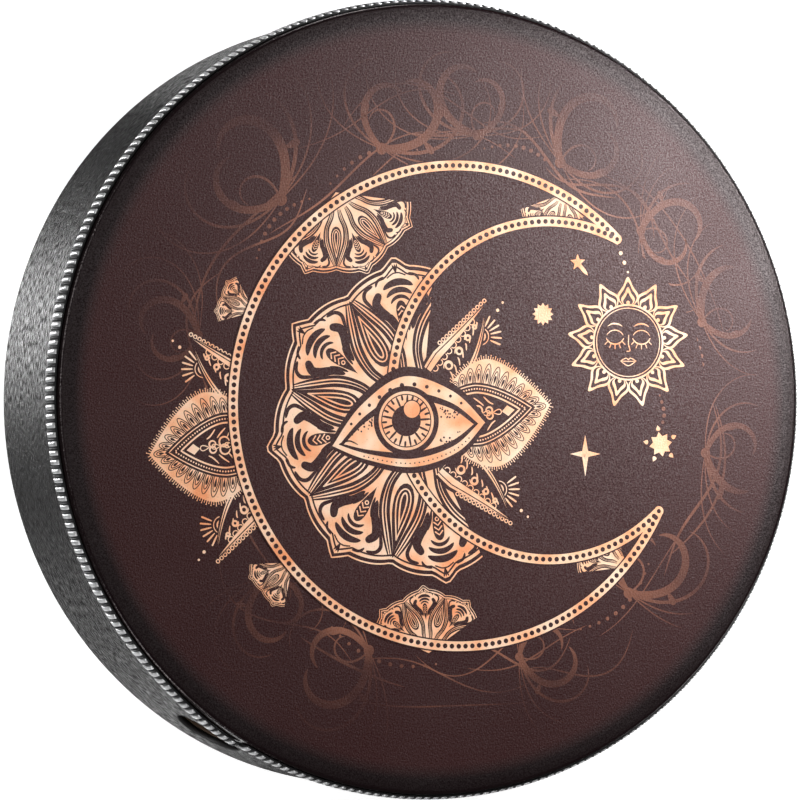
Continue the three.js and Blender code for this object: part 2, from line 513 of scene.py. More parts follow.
def ply_profile(index):
    """A ply's section: flat foot with eased corners, and a top that follows the underside of the film."""
    outer = PLY_RADII[index]
    inner = outer - PLY
    ease = FOOT_EASE
    depth = FILM + GLUE
    foot = arc(inner + ease, ease, ease, 180, 270, 3) + arc(outer - ease, ease, ease, 270, 360, 3)
    if index == 0:
        top = bend_points(depth, 4)
    else:
        top = [(outer, head_height(outer, depth))]
    return foot + top + [(inner, head_height(inner, depth))]


BEND_SLOPE = math.atan(2 * SHOULDER_DROP / SHOULDER_WIDTH)
BEND_CENTRE = SKIRT_OUTER - BEND_RADIUS
SHOULDER_END = BEND_CENTRE + BEND_RADIUS * math.sin(BEND_SLOPE)
SHOULDER_START = SHOULDER_END - SHOULDER_WIDTH
BEND_HEIGHT = HEAD_TOP - SHOULDER_DROP - BEND_RADIUS * math.cos(BEND_SLOPE)


def head_height(radius, depth):
    """Height of the head's face, or of a surface the given depth under it."""
    across = max(0.0, radius - SHOULDER_START) / SHOULDER_WIDTH
    return HEAD_TOP - depth - SHOULDER_DROP * across * across


def bend_points(depth, steps):
    """Points round the bend from the skirt up to the shoulder, the given depth inside the film's face."""
    return arc(BEND_CENTRE, BEND_HEIGHT, BEND_RADIUS - depth, 0, 90 - math.degrees(BEND_SLOPE), steps)


def grip_hole_tool(ease, outer, inner):
    """A drill for the grip hole, flared where it meets the wood so that the hole's rims are eased."""
    reach = 1 * MM
    rounds = 96
    into = [(-reach, GRIP_HOLE_RADIUS + ease)]
    for step in range(7):
        depth = ease * step / 6
        into.append((depth, GRIP_HOLE_RADIUS + ease - math.sqrt(ease**2 - (ease - depth) ** 2)))
    thickness = outer - inner
    out = [(thickness - depth, radius) for depth, radius in reversed(into)]
    points = []
    for depth, radius in into + out:
        for step in range(rounds):
            angle = TURN * step / rounds
            across = radius * math.cos(angle)
            at = outer - depth
            turned = GRIP_HOLE_ANGLE + math.asin(across / at)
            height = GRIP_HOLE_HEIGHT + radius * math.sin(angle)
            points.append((at * math.cos(turned), at * math.sin(turned), height))
    rows = len(into) + len(out)
    faces = strip_faces(rows, rounds, False, True) + end_caps(rows, rounds)
    tool = make_object("grip_hole_tool", points, faces)
    face_outwards(tool)
    return tool


def make_hoop(wood, core):
    """The three plies, each a bent strip with a butt joint and the grip hole drilled through it."""
    wood_of = {"hoop_core_ply": (core, "ply_wood")}
    for index, node in enumerate(PLIES):
        outer = PLY_RADII[index]
        start = PLY_JOINTS[index] + PLY_JOINT_GAP / outer / 2
        end = PLY_JOINTS[index] + TURN - PLY_JOINT_GAP / outer / 2
        profile = subdivided(ply_profile(index), 2 * MM)
        piece = bent_strip(node.replace("hoop", "wood"), profile, start, end, 480)
        face_outwards(piece)
        apply_boolean(piece, grip_hole_tool(PLY_HOLE_EASES[index], outer, outer - PLY))
        sharpen(piece, 40)
        look, slot = wood_of.get(node, (wood, "stained_wood"))
        piece.data.materials.clear()
        finished(piece, look, slot, node)


# ---------------------------------------------------------------- head

def make_head(look):
    """The film: flat face, shoulder, bend and skirt, with its real thickness."""
    shoulder = [
        (radius, head_height(radius, 0))
        for radius in np.linspace(SHOULDER_END, SHOULDER_START, 13)[1:]
    ]
    face = bend_points(0, 10) + shoulder
    face += [(radius, HEAD_TOP) for radius in np.linspace(SHOULDER_START, 4 * MM, 14)[1:]]
    under = bend_points(FILM, 6)
    under += [
        (radius, head_height(radius, FILM))
        for radius in np.linspace(SHOULDER_END, SHOULDER_START, 8)[1:]
    ]
    under += [(radius, HEAD_TOP - FILM) for radius in np.linspace(SHOULDER_START, 4 * MM, 6)[1:]]
    skirt = [(SKIRT_OUTER - FILM, SKIRT_END), (SKIRT_OUTER, SKIRT_END)]
    profile = under[::-1] + skirt + face
    steps = 512
    points = turned(profile, steps)
    count = len(profile)
    faces = strip_faces(steps, count, True, False)
    below, above = len(points), len(points) + 1
    points += [(0, 0, HEAD_TOP - FILM), (0, 0, HEAD_TOP)]
    for step in range(steps):
        after = (step + 1) % steps
        faces.append((below, after * count, step * count))
        faces.append((above, step * count + count - 1, after * count + count - 1))
    piece = make_object("printed_head", points, faces)
    face_outwards(piece)
    sharpen(piece, 50)
    return finished(piece, look, "head_film", "head_film")


# ---------------------------------------------------------------- trim braid

RIB_COUNT = 277
RIB_START = 0.4 * MM
SILVER_WIDTH = 1.72 * MM
SILVER_HEIGHT = 0.55 * MM
THREAD_WIDTH = 0.34 * MM
THREAD_HEIGHT = 0.30 * MM


def trim_place(along, down, out):
    """A point on the braid: along it from 0 to 1, down from its upper edge, and out from the wood."""
    angle = TRIM_JOINT + TRIM_OPENING / 2 + (TURN - TRIM_OPENING) * along
    behind = (1 - along) * (TURN - TRIM_OPENING)
    rest = max(0.0, 1 - behind / TRIM_SAG_SPAN)
    sag = TRIM_SAG * rest * rest * (3 - 2 * rest)
    radius = HOOP_RADIUS + out
    return (radius * math.cos(angle), radius * math.sin(angle), TRIM_TOP - down - sag)


def braid_face(down):
    """How far the braid's domed face stands out from the wood, at a depth below its upper edge."""
    crown_at = 0.4 * TRIM_HEIGHT
    if down < crown_at:
        return TRIM_CROWN - 0.5 * MM * (1 - down / crown_at) ** 2
    below = (down - crown_at) / (TRIM_HEIGHT - crown_at)
    return TRIM_CROWN - 1.0 * MM * below**2


def make_filler(look):
    """The black band under the ribs. Its back steps over the end of the film's skirt."""
    rib_height = 0.5 * MM
    over_skirt = SKIRT_OUTER - HOOP_RADIUS + GLUE
    step_at = TRIM_TOP - SKIRT_END + GLUE
    edge = 0.3 * MM
    back = [(over_skirt, edge), (over_skirt, step_at), (GLUE, step_at), (GLUE, TRIM_HEIGHT - edge)]
    front = [
        (braid_face(down) - rib_height, down)
        for down in np.linspace(TRIM_HEIGHT - edge, edge, 12)
    ]
    section = back + front
    stations = 720
    points, uvs = [], []
    for station in range(stations + 1):
        along = station / stations
        for out, down in section:
            points.append(trim_place(along, down, out))
            uvs.append((along * TURN * HOOP_RADIUS, down))
    count = len(section)
    faces = strip_faces(stations + 1, count, False, True) + end_caps(stations + 1, count)
    piece = make_object("braid_filler", points, faces, uvs)
    face_outwards(piece)
    sharpen(piece, 50)
    return finished(piece, look, "trim_black", "trim_filler")


def make_ribs(name, look, slot, shift, width, height, node=None):
    """Ribs across the braid, one for each pitch, shifted by a share of the pitch."""
    rounds, stations = 8, 11
    dice = random.Random(name)
    points, uvs, faces = [], [], []
    for rib in range(RIB_COUNT):
        centre = (rib + shift) / RIB_COUNT
        reach = TRIM_HEIGHT * (1 - 0.03 * dice.random())
        lean = 0.12 * MM * (dice.random() - 0.5)
        wide = width * (0.92 + 0.16 * dice.random())
        first = len(points)
        for station in range(stations):
            share = 0.5 - 0.5 * math.cos(math.pi * station / (stations - 1))
            down = RIB_START + share * (reach - RIB_START)
            swell = 0.7 + 0.3 * math.sqrt(1 - abs(2 * share - 1) ** 16)
            for step in range(rounds):
                angle = TURN * step / rounds
                aside = (wide / 2 * math.cos(angle) * swell + lean * (2 * share - 1)) / (TURN * HOOP_RADIUS)
                flat_top = math.copysign(abs(math.sin(angle)) ** 0.45, math.sin(angle))
                out = braid_face(down) - height + height * flat_top * swell
                points.append(trim_place(centre + aside, down, out))
                uvs.append((wide * step / rounds, down))
        faces += [
            tuple(first + corner for corner in face)
            for face in strip_faces(stations, rounds, False, True)
        ]
        faces += end_caps(stations, rounds, first)
    piece = make_object(name, points, faces, uvs)
    face_outwards(piece)
    return finished(piece, look, slot, *([node] if node else []))


# ---------------------------------------------------------------- printed picture

class Picture:
    """Flat shapes of ink on the head, in millimetres as complex numbers. Higher levels lie on top."""

    LEVEL = 0.006 * MM
    HAIR = 0.0001 * MM
    HAIRS = 45

    def __init__(self):
        self.inks = {}
        self.shapes = 0

    def gather(self, ink, level, points, faces, rises=None):
        """Adds a shape. Shapes on one level lie a hair apart, and rises lifts a shape's own points."""
        corners, polygons = self.inks.setdefault(ink, ([], []))
        first = len(corners)
        self.shapes += 1
        height = HEAD_TOP + (level + 1) * self.LEVEL + self.shapes % self.HAIRS * self.HAIR
        points = [complex(point) for point in points]
        rises = [0.0] * len(points) if rises is None else rises
        corners += [
            (point.real * MM, point.imag * MM, height + rise) for point, rise in zip(points, rises)
        ]
        for face in faces:
            spread = sum(
                (points[a].conjugate() * points[b]).imag
                for a, b in zip(face, (*face[1:], face[0]))
            )
            if spread:
                polygons.append(tuple(first + corner for corner in (face if spread > 0 else face[::-1])))

    def fill(self, ink, level, outline):
        """A filled outline."""
        corners = [Vector((point.real, point.imag, 0)) for point in outline]
        self.gather(ink, level, outline, tessellate_polygon([corners]))

    def stroke(self, ink, level, line, width, ends=(0.0, 0.0)):
        """A brush stroke along a line. ends are its widths at the two ends, as shares of its full width."""
        line = np.asarray(line)
        share = np.linspace(0, 1, len(line))
        body = np.sin(np.pi * share) ** 0.6
        halves = 0.5 * width * (body + (1 - body) * np.where(share < 0.5, ends[0], ends[1]))
        line, halves = with_round_ends(line, halves)
        count = len(line)
        ahead = np.gradient(line)
        side = 1j * ahead / np.maximum(np.abs(ahead), 1e-9)
        points = np.concatenate([line + side * halves, line - side * halves])
        faces = [(i, i + 1, count + i + 1, count + i) for i in range(count - 1)]
        self.gather(ink, level, points, faces, np.tile(np.linspace(0, 10 * self.HAIR, count), 2))

    def line(self, ink, level, line, width):
        """A stroke of one width."""
        self.stroke(ink, level, line, width, (1.0, 1.0))

    def loop(self, ink, level, outline, width):
        """A line of one width round a closed outline."""
        outline = np.asarray(outline)
        ahead = np.roll(outline, -1) - np.roll(outline, 1)
        side = 0.5j * width * ahead / np.maximum(np.abs(ahead), 1e-9)
        count = len(outline)
        points = np.concatenate([outline + side, outline - side])
        faces = [(i, (i + 1) % count, count + (i + 1) % count, count + i) for i in range(count)]
        self.gather(ink, level, points, faces)

    def dot(self, ink, level, centre, radius):
        self.fill(ink, level, circle(centre, radius, 14))

    def ring(self, ink, level, centre, radius, width):
        self.loop(ink, level, circle(centre, radius, 40), width)

    def print_with(self, looks):
        """One mesh for each ink."""
        for ink, (corners, polygons) in self.inks.items():
            piece = make_object(f"print_{ink}", corners, polygons)
            finished(piece, looks[ink], "head_film")


def unit(degrees):
    """The direction at an angle, as a complex number."""
    return complex(math.cos(math.radians(degrees)), math.sin(math.radians(degrees)))


def circle(centre, radius, steps):
    return centre + radius * np.exp(1j * TURN * np.arange(steps) / steps)


def arc_line(centre, radius, start, end, steps=24):
    """Points round an arc, angles in degrees."""
    return centre + radius * np.exp(1j * np.radians(np.linspace(start, end, steps)))


def smooth(knots, per_span=7, closed=False):
    """A smooth line through the knots."""
    knots = [complex(knot) for knot in knots]
    ends = [knots[-1], *knots, knots[0], knots[1]] if closed else [knots[0], *knots, knots[-1]]
    share = np.arange(per_span) / per_span
    spans = []
    for a, b, c, d in zip(ends, ends[1:], ends[2:], ends[3:]):
        spans.append(
            b + (c - a) / 2 * share
            + (a - 2.5 * b + 2 * c - d / 2) * share**2
            + (1.5 * b - a / 2 - 1.5 * c + d / 2) * share**3
        )
    line = np.concatenate(spans)
    return line if closed else np.append(line, knots[-1])


def with_round_ends(line, halves):
    """A stroke's line and half widths, with half a circle added to each end that is wide enough to show."""
    quarter = np.radians((90, 67.5, 45, 22.5))
    for _ in range(2):
        line, halves = line[::-1], halves[::-1]
        if halves[0] > 0.12:
            beyond = (line[0] - line[1]) / abs(line[0] - line[1])
            line = np.concatenate([line[0] + beyond * halves[0] * np.sin(quarter), line])
            halves = np.concatenate([halves[0] * np.cos(quarter), halves])
    return line, halves


def both_sides(half):
    """A closed smooth outline from the knots of its left half, base first and tip last."""
    return smooth([*half, *[complex(knot).conjugate() for knot in half[-2:0:-1]]], closed=True)


def drop(base, end, width, steps=26):
    """Outline of a drop, pointed at its base and round at its end."""
    turn = TURN * np.arange(steps) / steps
    across = np.sin(turn) * np.sin(turn / 2) ** 1.6
    across *= width / 2 / across.max()
    length = abs(end - base)
    return base + (length * (1 - np.cos(turn)) / 2 + 1j * across) * (end - base) / length


def curl(start, heading, length, turn, tightening=1.5, steps=30):
    """A line that sets off at a heading and curls round by a turn, both in degrees, tighter as it goes."""
    share = np.arange(steps) / (steps - 1)
    headings = np.radians(heading + turn * share**tightening)
    hops = np.exp(1j * headings) * length / (steps - 1)
    return start + np.concatenate([[0], np.cumsum(hops[:-1])])


class Stencil:
    """Carries shapes drawn with x from 0 to 1 along a motif and y in shares of its width to their place."""

    def __init__(self, base, heading, length, width):
        self.base, self.along, self.size = base, unit(heading), (length, width)

    def __call__(self, shape):
        shape = np.asarray(shape, complex)
        return self.base + (shape.real * self.size[0] + 1j * shape.imag * self.size[1]) * self.along

    def pair(self, shape):
        """The shape and its mirror image across the motif's axis."""
        return self(shape), self(np.conjugate(shape))


MANDALA_LOBE_TURN = 45


def mandala_rim(share_of_lobe):
    """Rim radius at a place across a lobe, from -1 to 1 with the lobe's tip at 0."""
    away = abs(share_of_lobe)
    return 0.875 + 0.06 * (1 - away**2.5) + 0.065 * max(0.0, 1 - away / 0.22)


def lobe(picture, at, size, level):
    """A lobe of the wheel: crescents over a dark drop, commas at its sides and a small pointed cap."""
    fine = 0.009 * size
    for radius, weight, reach in ((0.160, 0.045, 36), (0.112, 0.036, 46), (0.070, 0.024, 60)):
        arch = 0.710 + radius * np.exp(1j * np.radians(np.linspace(-reach, reach, 21)))
        picture.stroke("ground", level, at(arch), weight * size, (0.3, 0.3))
    picture.fill("ground", level, at(drop(0.50, 0.755, 0.074)))
    for place in (0.66, 0.69, 0.72):
        picture.line("peach", level + 1, at([place - 0.022 - 0.024j, place, place - 0.022 + 0.024j]), fine)
    picture.ring("peach", level + 1, at([0.620])[0], 0.011 * size, fine * 0.8)
    commas = (
        ([0.80 + 0.14j, 0.755 + 0.16j, 0.705 + 0.135j, 0.65 + 0.085j, 0.57 + 0.05j], 0.058, (0.8, 0.1)),
        ([0.672 + 0.072j, 0.625 + 0.046j, 0.560 + 0.027j], 0.020, (0.7, 0.1)),
        ([0.868 + 0.172j, 0.842 + 0.22j, 0.797 + 0.232j, 0.748 + 0.2j, 0.7 + 0.16j], 0.025, (0.5, 0.1)),
        ([0.915 + 0.085j, 0.893 + 0.130j, 0.862 + 0.145j], 0.018, (0.3, 0.3)),
    )
    for knots, weight, ends in commas:
        for side in at.pair(smooth(knots)):
            picture.stroke("ground", level, side, weight * size, ends)
    cap = smooth([0.905 - 0.06j, 0.925 - 0.02j, 0.925 + 0.02j, 0.905 + 0.06j])
    picture.line("ground", level, at(cap), fine)
    for fan in (-0.018j, 0, 0.018j):
        picture.stroke("ground", level, at(np.linspace(0.935, 0.985 + fan, 5)), fine * 1.3, (1, 0))


def valley(picture, at, size, level, sides):
    """What fills the gap between two lobes: a long drop with drops inside it and lines flowing past."""
    fine = 0.009 * size
    if len(sides) == 2:
        picture.fill("ground", level, at(drop(0.86, 0.40, 0.135)))
        picture.loop("peach", level + 1, at(drop(0.76, 0.435, 0.092)), fine)
        picture.fill("peach", level + 1, at(drop(0.70, 0.455, 0.050)))
        picture.fill("ground", level + 2, at(drop(0.65, 0.468, 0.030)))
    for step in range(3):
        flow = smooth([
            0.868 + 0.014j * step,
            0.74 + (0.042 + 0.025 * step) * 1j,
            0.58 + (0.092 + 0.026 * step) * 1j,
            0.43 + (0.094 + 0.022 * step) * 1j,
            0.30 + (0.040 + 0.023 * step) * 1j,
            0.20 + (0.022 + 0.014 * step) * 1j,
        ])
        for side in sides:
            picture.stroke("ground", level, at.pair(flow)[side], fine * (2.6, 1.5, 2.3)[step], (0.2, 0.2))


def mandala(picture, centre, size, first_lobe, lobes, level):
    """A wheel of lobes with a scalloped rim, or the part of one that holds the given number of lobes."""
    places = np.linspace(-0.7, 2 * lobes - 1.3, 26 * lobes)
    across = (places + 1) % 2 - 1
    radii = size * np.array([mandala_rim(place) for place in across])
    rim = centre + radii * np.exp(1j * np.radians(first_lobe + places * MANDALA_LOBE_TURN / 2))
    picture.fill("ground", level, np.concatenate([centre + (rim - centre) * 1.035, [centre]]))
    picture.line("peach", level + 1, centre + (rim - centre) * 1.03, 0.0095 * size)
    picture.fill("peach", level + 1, np.concatenate([rim, [centre]]))
    picture.line("ground", level + 2, centre + (rim - centre) * 0.972, 0.011 * size)
    for step in range(lobes):
        heading = first_lobe + step * MANDALA_LOBE_TURN
        lobe(picture, Stencil(centre, heading, size, size), size, level + 2)
    for step in range(lobes + 1):
        heading = first_lobe + (step - 0.5) * MANDALA_LOBE_TURN
        sides = [side for side, lobe_beside in enumerate((step < lobes, step > 0)) if lobe_beside]
        valley(picture, Stencil(centre, heading, size, size), size, level + 2, sides)


def pointed_side(length, half_width, widest, base_share, steps=40):
    """One edge of a pointed petal, in millimetres from its base to its tip."""
    places = np.linspace(0, length, steps)
    near = 1 - (1 - base_share) * np.clip((widest - places) / widest, 0, 1) ** 2
    far = 1 - np.clip((places - widest) / (length - widest), 0, 1) ** 1.6
    return places + 1j * half_width * near * far


def round_tip(side):
    """Both edges of a petal from the edge on its left, base to tip and back."""
    return np.concatenate([side, np.conjugate(side[-2::-1])])


def even_points(line, count):
    """Points at equal distances along a line, with the direction of the line at each."""
    line = np.asarray(line)
    lengths = np.concatenate([[0], np.cumsum(np.abs(np.diff(line)))])
    places = np.linspace(0, lengths[-1], count)
    points = np.interp(places, lengths, line.real) + 1j * np.interp(places, lengths, line.imag)
    ahead = np.gradient(points)
    return points, ahead / np.maximum(np.abs(ahead), 1e-9)


def lace_petal(picture, at, level):
    """A pointed petal: a fringe, tall scallops, a beaded frame and a patterned dark field."""
    outer = pointed_side(34, 17.2, 14, 0.55)
    frame_edge = pointed_side(29, 10.2, 9, 0.78)
    picture.fill("peach", level, at(round_tip(outer)))
    points, ahead = even_points(round_tip(outer), 116)
    for order, (point, way) in enumerate(zip(points, ahead)):
        reach = 0.35 if order % 2 else 0.85
        picture.line("peach", level, at([point, point + reach * 1j * way]), 0.26)
        picture.dot("peach", level, at([point + (reach + 0.35) * 1j * way])[0], 0.2)
    rows, _ = even_points(outer * 0.965 + 0.3, 13)
    feet, _ = even_points(frame_edge, 13)
    for foot, top in zip(feet, rows):
        reach = abs(top - foot)
        way = (top - foot) / reach
        turn = np.radians(np.linspace(-90, 90, 15))
        for width, share in ((1.34, 0.88), (0.84, 0.66)):
            arch = foot + way * (share * reach * np.cos(turn) + 1j * width * np.sin(turn))
            for side in at.pair(arch):
                picture.line("ground", level + 1, side, 0.3)
        for side in at.pair(drop(foot, foot + way * reach * 0.46, 0.8)):
            picture.fill("ground", level + 1, side)
    picture.fill("ground", level + 2, at(round_tip(frame_edge)))
    picture.line("peach", level + 3, at(round_tip(pointed_side(27.6, 9.3, 9, 0.78))), 0.35)
    for point in even_points(round_tip(pointed_side(25.6, 8.2, 9, 0.78)), 62)[0]:
        picture.dot("peach", level + 3, at([point])[0], 0.28)
    picture.line("peach", level + 3, at(round_tip(pointed_side(23.6, 7.0, 9, 0.78))), 0.55)
    for place, rise, reach in ((3.0, 1.2, 9.5), (7.5, 1.4, 9.0), (12.0, 1.0, 6.0)):
        for side in at.pair(curl(place + 1j * rise, 68, reach, -330, 1.1)):
            picture.stroke("peach", level + 3, side, 0.6, (0.6, 0.7))
    for step in range(4):
        foot = 1.5 + 3.4 * step
        vein = smooth([foot + 5.4j, foot + 1.7 + (5.0 - 0.5 * step) * 1j, foot + 3.1 + 2.6j])
        for side in at.pair(vein):
            picture.stroke("peach", level + 3, side, 0.5, (0.4, 0.4))
    for place in (2.0, 6.2, 10.4, 14.2):
        picture.loop("peach", level + 3, at(drop(place, place + 3.0, 1.6)), 0.32)
    picture.fill("peach", level + 3, at([17.4, 19.4 + 1.7j, 21.8, 19.4 - 1.7j]))


def leaf(picture, at, level):
    """A narrow pointed leaf that leans outwards: beaded on its back, with curls in its dark field."""
    share = np.linspace(0, 1, 26)
    axis = 29 * share - 1.2j * np.sin(np.pi * share)
    swell = (1 - share**1.7) * (0.8 + 0.2 * np.minimum(1, share / 0.2))
    back, front = axis + 6.8j * swell, axis - 8.2j * swell

    def outline(behind, before):
        """The leaf's edge drawn in towards its axis, by one share on its back and another on its front."""
        return np.concatenate([axis + (back - axis) * behind, (axis + (front - axis) * before)[-2::-1]])

    picture.fill("ground", level, at(outline(1.18, 1.18)))
    picture.fill("peach", level + 1, at(outline(1.0, 1.0)))
    picture.line("ground", level + 2, at(outline(0.84, 0.90)), 0.36)
    picture.fill("ground", level + 2, at(outline(0.52, 0.78)[:-1]))
    for bead in even_points(back, 20)[0][6:]:
        picture.ring("peach", level, at([bead + 0.75j])[0], 0.55, 0.34)
    for place, rise, reach in ((3.5, -0.2, 12.0), (9.5, -0.6, 10.5), (15.0, -0.8, 8.0), (19.5, -0.9, 5.5)):
        spiral = at(curl(place + 1j * rise, 40, reach, -560, 1.25, 44))
        picture.stroke("peach", level + 3, spiral, 0.62, (0.4, 0.7))
    for step in range(8):
        place = 2.2 + 2.6 * step
        depth = 5.0 * (1 - step / 11)
        hatch = smooth([place - 1j * depth, place + 1.2 - 0.72j * depth, place + 1.6 - 0.5j * depth])
        picture.stroke("peach", level + 3, at(hatch), 0.5, (0.5, 0.2))
    for step in range(9):
        scale_back = arc_line(1.8 + 2.4 * step + (2.2 - 0.22 * step) * 1j, 0.95, 180, 360, 9)
        picture.line("peach", level + 3, at(scale_back), 0.34)


def ray_burst(picture, at, level):
    """A small ring with short rays on one side and two dots beyond them."""
    picture.ring("peach", level, at([0])[0], 1.5, 0.5)
    picture.ring("peach", level, at([0])[0], 2.7, 0.3)
    picture.dot("peach", level, at([0])[0], 0.6)
    for step in range(9):
        way = unit(17 * step - 68)
        picture.stroke("peach", level, at(np.linspace(3.6 * way, 7.0 * way, 5)), 0.6, (0.5, 0.9))
    for reach, size in ((10.2, 0.55), (13.2, 0.4)):
        picture.dot("peach", level, at([reach * unit(8)])[0], size)


class Flipped(Stencil):
    """A stencil that draws its shapes mirrored across their axis."""

    def __call__(self, shape):
        return super().__call__(np.conjugate(np.asarray(shape, complex)))


def pointed_group(picture, root, heading, level):
    """A lace petal with a leaf and a ray burst on each side of it."""
    at = Stencil(root, heading, 1, 1)
    for side in (1, -1):
        kind = Stencil if side > 0 else Flipped
        foot, burst = at([-3 + 13.5j * side, 13.2 + 24.5j * side])
        leaf(picture, kind(foot, heading + 48 * side, 1, 1), level)
        ray_burst(picture, kind(burst, heading + 40 * side, 1, 1), level)
    lace_petal(picture, at, level + 4)


EYE_INNER = -35.7 - 15.0j
EYE_OUTER = 16.0 - 7.5j
IRIS = -10.8 - 7.0j


def eye(picture, level):
    """An open eye: lids, stippled white, ringed iris and a highlight."""
    span = EYE_OUTER - EYE_INNER

    def lids(above, below, shorten):
        """The almond between the eye's corners, with heights above and below the line between them."""
        start, end = EYE_INNER + span * shorten, EYE_OUTER - span * shorten
        reach = end - start
        over = smooth([start, start + reach * (0.22 + above * 0.62j), start + reach * (0.52 + above * 1j),
                       start + reach * (0.82 + above * 0.62j), end], 9)
        under = smooth([end, start + reach * (0.80 - below * 0.75j), start + reach * (0.50 - below * 1j),
                        start + reach * (0.20 - below * 0.55j), start], 9)
        return np.concatenate([over, under[1:-1]])

    picture.fill("ground", level, lids(0.385, 0.225, -0.03))
    picture.fill("peach", level + 1, lids(0.35, 0.20, 0.0))
    picture.fill("ground", level + 2, lids(0.275, 0.165, 0.045))
    picture.fill("peach", level + 3, lids(0.24, 0.13, 0.075))
    lid = (lids(0.35, 0.20, 0.0)[:36] + lids(0.275, 0.165, 0.045)[:36]) / 2
    points, _ = even_points(lid, 15)
    for order, point in enumerate(points[2:-2]):
        size = 0.75 - 0.06 * abs(order - 5)
        picture.dot("ground", level + 3, point, size)
    lower = lids(0.2, 0.185, 0.02)[38:]
    points, _ = even_points(lower, 34)
    for point in points[3:-6]:
        picture.dot("ground", level + 3, point, 0.24)
    dice = random.Random(7)
    for _ in range(190):
        side = dice.choice((-1, 1))
        away = IRIS + side * (11.5 + 8 * dice.random() ** 2) + 1j * dice.uniform(-7.5, 6.5)
        share = (away - EYE_INNER) / span
        room = 0.17 * math.sin(math.pi * min(max(share.real, 0.0), 1.0))
        if 0.07 < share.real < 0.92 and room * 0.45 < abs(share.imag - 0.01) < room:
            picture.dot("ground", level + 4, away, 0.22 + 0.12 * dice.random())
    picture.fill("ground", level + 4, circle(IRIS, 11.0, 64))
    picture.fill("peach", level + 5, circle(IRIS, 9.3, 64))
    picture.ring("ground", level + 6, IRIS, 8.3, 0.35)
    for step in range(26):
        way = unit(360 * step / 26 + 4)
        inner = 5.2 + 1.6 * (step % 2)
        spoke = np.linspace(IRIS + inner * way, IRIS + 8.3 * way, 5)
        picture.stroke("ground", level + 6, spoke, 0.7, (1, 0.3))
    picture.fill("ground", level + 6, circle(IRIS, 4.9, 48))
    picture.fill("peach", level + 7, circle(IRIS + 1.9 + 3.6j, 2.7, 32))
    picture.loop("ground", level + 8, circle(IRIS + 1.9 + 3.6j, 2.9, 32), 0.35)
    duct = smooth([EYE_INNER + 2.2 + 0.5j, EYE_INNER + 5.6 + 1.6j, EYE_INNER + 8.6 + 0.4j])
    picture.stroke("ground", level + 4, duct, 0.5, (0.4, 0.2))


CRESCENT = 7.6 - 2.2j
CRESCENT_RADIUS = 76.2
HOLLOW = 38.4 + 2.8j
HOLLOW_RADIUS = 53.9
BAND = 3.1


def crescent_tips():
    """Where the crescent's two arcs meet: the upper tip and the lower one."""
    apart = abs(HOLLOW - CRESCENT)
    along = (CRESCENT_RADIUS**2 - HOLLOW_RADIUS**2 + apart**2) / (2 * apart)
    aside = math.sqrt(CRESCENT_RADIUS**2 - along**2)
    axis = (HOLLOW - CRESCENT) / apart
    return CRESCENT + axis * (along + 1j * aside), CRESCENT + axis * (along - 1j * aside)


def crescent(picture, level):
    """Two beaded bands that meet in points."""
    upper, lower = crescent_tips()
    for centre, radius in ((CRESCENT, CRESCENT_RADIUS), (HOLLOW, HOLLOW_RADIUS)):
        start = math.degrees(math.atan2((upper - centre).imag, (upper - centre).real))
        end = 360 + math.degrees(math.atan2((lower - centre).imag, (lower - centre).real))
        band = arc_line(centre, radius, start, end, 220)
        picture.line("ground", level, band, BAND + 0.9)
        picture.line("peach", level + 1, band, BAND)
        length = math.radians(end - start) * radius
        for bead in even_points(band, round(length / 2.3))[0][1:-1]:
            picture.dot("ground", level + 2, bead, 0.78)
    for tip in (upper, lower):
        picture.dot("peach", level + 1, tip, BAND * 0.52)
        picture.dot("ground", level + 2, tip, 0.7)


# Each growth: angle round the crescent, distance out, size, heading of its first lobe, number of lobes
OUTSIDE_LACE = ((157, 75, 13, 135, 2), (221, 75, 15, 198, 2))
INSIDE_LACE = ((122, 79, 27, 248, 3), (262, 79, 21, 50, 3), (62, 77, 17, 215, 3), (-42, 77, 18, 125, 2))


def band_lace(picture, growths, level):
    """Parts of small wheels that grow from the outer band."""
    for angle, out, size, first_lobe, lobes in growths:
        mandala(picture, CRESCENT + out * unit(angle), size, first_lobe, lobes, level)


SUN = 65.5 + 18.3j


def sun(picture, level):
    """A disc with a plain sleeping face and two rows of petals, hung from the crescent's upper tip."""
    rays = 13
    for step in range(rays):
        heading = 90 + 360 * step / rays
        at = Stencil(SUN + 11.4 * unit(heading), heading, 9.6, 7.4)
        petal = both_sides([0, 0.12 + 0.36j, 0.38 + 0.5j, 0.68 + 0.24j, 1.0])
        picture.fill("peach", level, at(petal))
        picture.fill("ground", level + 1, at(0.02 + 0.82 * petal))
        picture.fill("peach", level + 2, at(0.02 + 0.64 * petal))
        picture.fill("ground", level + 3, at(0.02 + 0.46 * petal))
        picture.dot("peach", level + 4, at([0.14])[0], 0.62)
    picture.fill("peach", level + 5, circle(SUN, 12.3, 64))
    picture.fill("ground", level + 6, circle(SUN, 11.7, 64))
    picture.ring("peach", level + 7, SUN, 11.0, 0.28)
    face(picture, level + 7)


